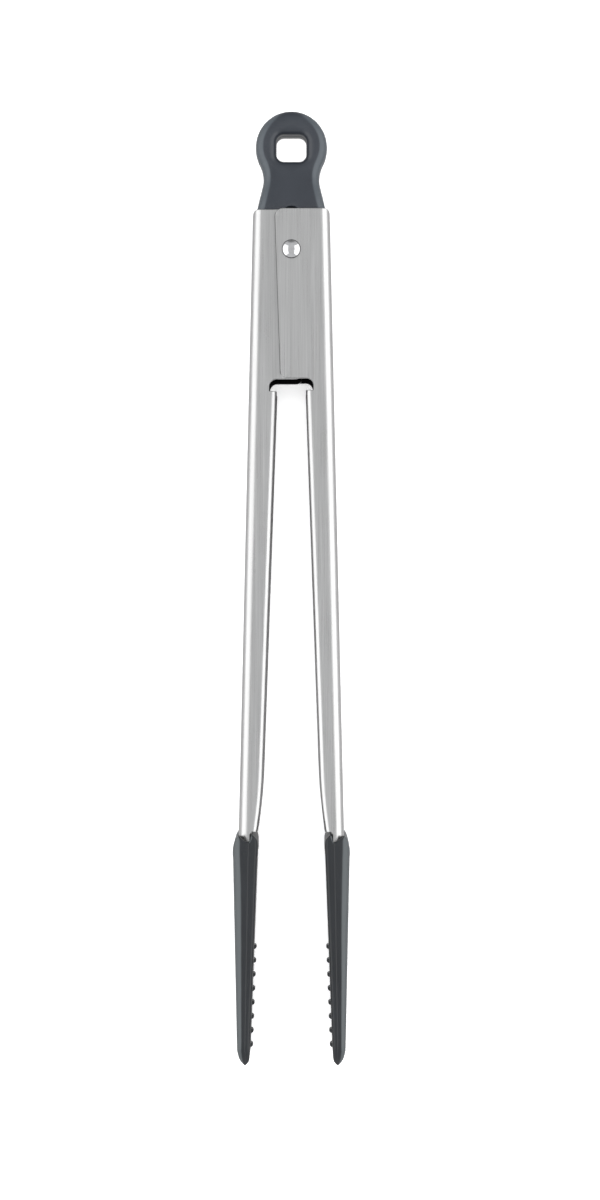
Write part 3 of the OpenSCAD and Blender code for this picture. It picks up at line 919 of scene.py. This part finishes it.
def arm_inside(name):
    """The arms' inner faces: plain brushed sheet, with painted shade up inside the housing."""
    mat, tree, shader = new_material(name)
    shader.inputs["Metallic"].default_value = 1.0
    streak = noise(tree, INNER_STREAKS, 3)
    along = axis_of(tree, node(tree, "TexCoord").outputs["Object"], "Y")
    # painted shade: the tone turns near-black up inside the housing
    shade_share = node(
        tree, "MapRange",
        {"Value": along, "From Min": HOUSING_Y[0] * MM, "From Max": HOUSING_Y[1] * MM},
    )
    open_tone = ramp(tree, streak, (0.42, 0.42, 0.42), (0.56, 0.56, 0.56))
    painted_shade_tone = ramp(tree, streak, (0.008, 0.008, 0.009), (0.02, 0.02, 0.022))
    tone = node(
        tree, "MixRGB", {"Fac": shade_share.outputs[0], "Color1": open_tone, "Color2": painted_shade_tone},
    )
    tree.links.new(tone.outputs[0], shader.inputs["Base Color"])
    tree.links.new(spread(tree, streak, 0.36, 0.5), shader.inputs["Roughness"])
    bump(tree, shader, [(streak, 0.015, 0.3)])
    return mat


def polished_steel(name):
    """Turned and polished: fine rings about the pivot and a little wear."""
    mat, tree, shader = new_material(name)
    shader.inputs["Metallic"].default_value = 1.0
    coord = node(tree, "TexCoord")
    centred = node(
        tree, "VectorMath",
        {0: coord.outputs["Object"], 1: tuple(-c * MM for c in PIVOT)}, operation="ADD",
    )
    rings = node(
        tree, "TexWave",
        {"Vector": centred.outputs[0], "Scale": TURNING_RINGS, "Distortion": 1.5},
        wave_type="RINGS", rings_direction="Z",
    )
    wear = noise(tree, RIVET_WEAR, 3)
    tree.links.new(ramp(tree, wear, (0.74, 0.74, 0.75), (0.86, 0.86, 0.87)),
                   shader.inputs["Base Color"])
    tree.links.new(spread(tree, wear, 0.1, 0.17), shader.inputs["Roughness"])
    bump(tree, shader, [(rings.outputs["Fac"], 0.003, 0.06), (wear, 0.01, 0.04)])
    return mat


def moulded(name, low, high, side, rough, grain, grain_mm, specular=0.5):
    """Moulded plastic or rubber: fine skin grain, slow mottling in tone and gloss.

    The rounds and faces turned away from the middle are painted paler, a painted highlight.
    """
    mat, tree, shader = new_material(name)
    shader.inputs["Specular IOR Level"].default_value = specular
    cells = 1000 / grain_mm
    skin = noise(tree, (cells, cells, cells), 3, 0.6)
    mottle = noise(tree, MOTTLING, 3, 0.55)
    mixed = blend(tree, MOTTLE_SHARE, skin, mottle)
    place_x = axis_of(tree, node(tree, "TexCoord").outputs["Object"], "X")
    facing = axis_of(tree, node(tree, "NewGeometry").outputs["Normal"], "X")
    turned = maths(tree, "MULTIPLY", maths(tree, "SIGN", place_x), facing)
    # painted highlight: faces turned away from the middle take the paler side colour
    side_highlight = maths(tree, "ADD", turned, spread(tree, mottle, -0.03, 0.03))
    share = node(
        tree, "MapRange",
        {"Value": side_highlight, "From Min": TURNED_FROM, "From Max": TURNED_FULL},
        interpolation_type="SMOOTHSTEP",
    )
    tone = node(
        tree, "MixRGB",
        {"Fac": share.outputs[0], "Color1": ramp(tree, mixed, low, high), "Color2": (*side, 1)},
    )
    tree.links.new(tone.outputs[0], shader.inputs["Base Color"])
    tree.links.new(spread(tree, mottle, rough - 0.05, rough + 0.06), shader.inputs["Roughness"])
    bump(tree, shader, [(skin, 0.02, grain), (mottle, 0.05, 0.1)])
    return mat


ARM_STEEL = brushed_steel(
    "arm_steel", low=(0.6, 0.6, 0.595), high=(0.77, 0.77, 0.765),
    rough=0.3, anisotropy=0.3, scratch=0.3,
)
EDGE_PAINTED_LIGHT = edge_painted_light("edge_painted_light")
ARM_INSIDE = arm_inside("arm_inside")
# painted shade and dark reflection on the rivet head's rim
RIVET_PAINTED_SHADE = brushed_steel(
    "head_outline", low=(0.12, 0.12, 0.12), high=(0.24, 0.24, 0.24),
    rough=0.45, anisotropy=0.0, scratch=0.5,
)
INNER_STEEL = brushed_steel(
    "inner_steel", low=(0.5, 0.5, 0.51), high=(0.64, 0.64, 0.65),
    rough=0.36, anisotropy=0.2, scratch=0.3,
)
SPRING_STEEL = brushed_steel(
    "spring_steel", low=(0.44, 0.44, 0.46), high=(0.6, 0.6, 0.62),
    rough=0.3, anisotropy=0.0, scratch=0.35,
)
RIVET_STEEL = polished_steel("rivet_steel")
# each side colour is a painted highlight on faces turned outward
TAB_NYLON = moulded(
    "tab_nylon", low=(0.018, 0.0215, 0.0275), high=(0.0235, 0.0275, 0.035),
    side=(0.05, 0.06, 0.07), rough=0.34, grain=0.3, grain_mm=0.35, specular=0.6,
)
CORE_NYLON = moulded(
    "core_nylon", low=(0.012, 0.012, 0.013), high=(0.022, 0.022, 0.024),
    side=(0.02, 0.02, 0.022), rough=0.5, grain=0.3, grain_mm=0.4,
)
SILICONE = moulded(
    "head_silicone", low=(0.008, 0.0092, 0.011), high=(0.0125, 0.0145, 0.017),
    side=(0.06, 0.068, 0.072), rough=0.38, grain=0.35, grain_mm=0.25,
)

# ---------- pieces ----------


def place(obj, body, slot, mats, *nodes):
    for mat in mats:
        obj.data.materials.append(mat)
    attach(obj, body)
    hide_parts(*nodes)


RIM_STEP = RIM - LEFT_RIM
ARM_MATS = (ARM_STEEL, EDGE_PAINTED_LIGHT, ARM_INSIDE)
place(make_arm("right_arm_sheet", 1, OUTER_HALF, RIM, 0),
      "right_arm", "arm_steel", ARM_MATS, "arm_right")
place(make_arm("left_arm_sheet", -1, INNER_HALF, LEFT_RIM, RIM_STEP),
      "left_arm", "arm_steel", ARM_MATS, "arm_left")
place(make_rivet(), "pivot", "rivet_steel", [RIVET_STEEL, RIVET_PAINTED_SHADE], "pivot_rivet")
for side, half_name in ((1, "right"), (-1, "left")):
    place(make_spring_half("spring_" + half_name, side),
          half_name + "_arm", "spring_steel", [SPRING_STEEL], "torsion_spring")
    place(make_head(half_name + "_head", side),
          half_name + "_arm", "head_silicone", [SILICONE], "head_cover_" + half_name)
place(make_tab(), "lock", "tab_nylon", [TAB_NYLON], "lock_tab")

CARRIED_OVER = {
    "pivot_sleeve": INNER_STEEL, "lock_plate": INNER_STEEL, "plate_pins": INNER_STEEL,
    "lock_catch_left": INNER_STEEL, "lock_catch_right": INNER_STEEL,
    "head_core_left": CORE_NYLON, "head_core_right": CORE_NYLON,
}
for node_name, mat in CARRIED_OVER.items():
    carried = frame["nodes"][node_name]
    carried.data.materials.clear()
    carried.data.materials.append(mat)

# ---------- floor, light and camera ----------

FLOOR_SIZE = 5
FLOOR_GLOW = 0.3
ROOM = (0.56, 0.565, 0.572)
BELOW_FLOOR = (0.56, 0.56, 0.565)
# Where the world turns from the shade below the floor to the room, of its height
HORIZON_LOW, HORIZON_HIGH = 0.42, 0.52
# Share of the room's light left on the end wall, and where that wall starts
DARK_WALL = 0.3
DARK_WALL_FROM = 0.85
CAMERA_AT = (0.00276, -0.0042, 0.8722)
LENS_MM = 80
SENSOR_MM = 36
NEAREST = 0.01


def make_floor():
    """Pale paper that glows a little, to stay pale under the tongs, unseen in reflections."""
    bm = bmesh.new()
    bmesh.ops.create_grid(bm, x_segments=8, y_segments=8, size=FLOOR_SIZE)
    mesh = bpy.data.meshes.new("floor")
    bm.to_mesh(mesh)
    bm.free()
    obj = bpy.data.objects.new("floor", mesh)
    bpy.context.scene.collection.objects.link(obj)
    mat, tree, shader = new_material("floor_paper")
    tone = noise(tree, PAPER_TONE, 2)
    tree.links.new(ramp(tree, tone, (0.93, 0.93, 0.93), (0.95, 0.95, 0.95)),
                   shader.inputs["Base Color"])
    shader.inputs["Roughness"].default_value = 0.9
    shader.inputs["Specular IOR Level"].default_value = 0.1
    shader.inputs["Emission Color"].default_value = (1, 1, 1, 1)
    shader.inputs["Emission Strength"].default_value = FLOOR_GLOW
    mesh.materials.append(mat)
    obj.visible_glossy = False


def soft_box(name, at, aim, width, height, power, reflected=True):
    light = bpy.data.lights.new(name, "AREA")
    light.shape = "RECTANGLE"
    light.size, light.size_y = width, height
    light.energy = power
    obj = bpy.data.objects.new(name, light)
    obj.location = at
    obj.rotation_mode = "QUATERNION"
    obj.rotation_quaternion = (Vector(aim) - Vector(at)).to_track_quat("-Z", "Y")
    obj.visible_camera = False
    obj.visible_glossy = reflected
    bpy.context.scene.collection.objects.link(obj)


def make_world():
    """Soft grey room with one dark wall beyond the pull tab."""
    world = bpy.data.worlds.new("studio")
    world.use_nodes = True
    tree = world.node_tree
    coord = node(tree, "TexCoord")
    axes = node(tree, "SeparateXYZ", {0: coord.outputs["Generated"]})
    height = node(tree, "MapRange", {"Value": axes.outputs["Z"], "From Min": -1.0, "From Max": 1.0})
    shade = node(tree, "ValToRGB", {"Fac": height.outputs[0]})
    below, above = shade.color_ramp.elements
    below.position, above.position = HORIZON_LOW, HORIZON_HIGH
    below.color, above.color = (*BELOW_FLOOR, 1), (*ROOM, 1)
    ends = node(
        tree, "MapRange",
        {"Value": axes.outputs["Y"], "From Min": DARK_WALL_FROM, "From Max": 1.0,
         "To Min": 1.0, "To Max": DARK_WALL},
    )
    lit = node(
        tree, "VectorMath", {0: shade.outputs["Color"], 1: ends.outputs[0]}, operation="MULTIPLY",
    )
    tree.links.new(lit.outputs[0], tree.nodes["Background"].inputs["Color"])
    bpy.context.scene.world = world


make_floor()
soft_box("left_box", at=(-0.75, 0, 0.52), aim=(0, 0, 0.3), width=1.6, height=1.0, power=5.2)
soft_box("right_box", at=(0.75, 0, 0.52), aim=(0, 0, 0.3), width=1.6, height=1.0, power=5.6)
soft_box(
    "top_box", at=(0, 0, 1.6), aim=(0, 0, 0), width=1.0, height=1.0, power=26, reflected=False,
)
make_world()

camera = bpy.data.cameras.new("camera")
camera.lens = LENS_MM
camera.sensor_width = SENSOR_MM
camera.clip_start = NEAREST
camera_obj = bpy.data.objects.new("camera", camera)
camera_obj.location = CAMERA_AT
bpy.context.scene.collection.objects.link(camera_obj)
bpy.context.scene.camera = camera_obj
bpy.context.scene.view_settings.view_transform = "Standard"
